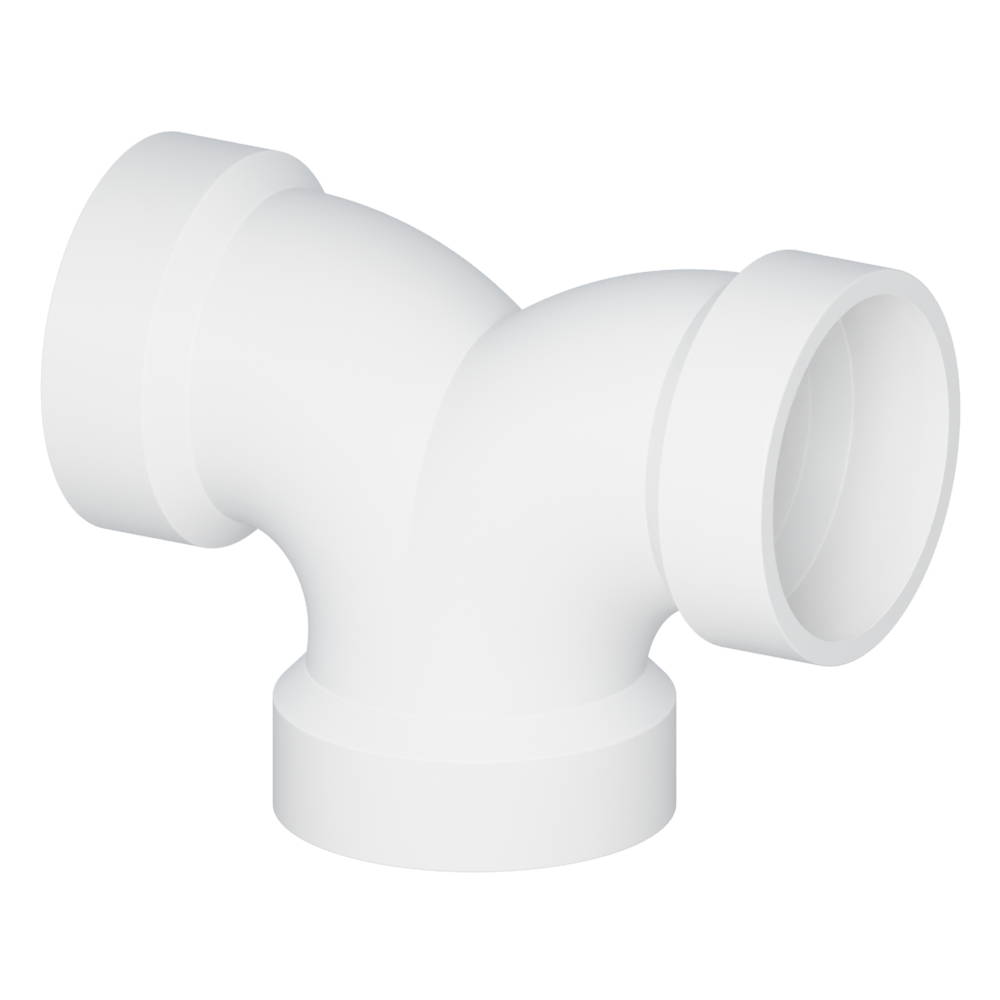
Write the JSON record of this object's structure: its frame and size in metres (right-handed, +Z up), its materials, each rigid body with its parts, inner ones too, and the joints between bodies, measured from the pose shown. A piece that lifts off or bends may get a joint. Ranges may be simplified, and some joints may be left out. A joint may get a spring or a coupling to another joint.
{
  "type": "double elbow fitting",
  "caption": "Double elbow pipe fitting: opposite side sockets whose bends turn down and merge into a shared lower socket, to join drain pipes.",
  "frame": {"origin": "on the lower hub's face, midway between the lower hub's axis and the side hubs' axis", "axes": "+Z up along the lower hub's axis, +X along the side hubs' shared axis towards the right hub, -Y the way the bends lean"},
  "size_m": [0.1432, 0.0787, 0.1064],
  "materials": {
    "white_pvc": "satin"
  },
  "bodies": {
    "root": {"fitting_body": "white_pvc"}
  },
  "joints": []
}
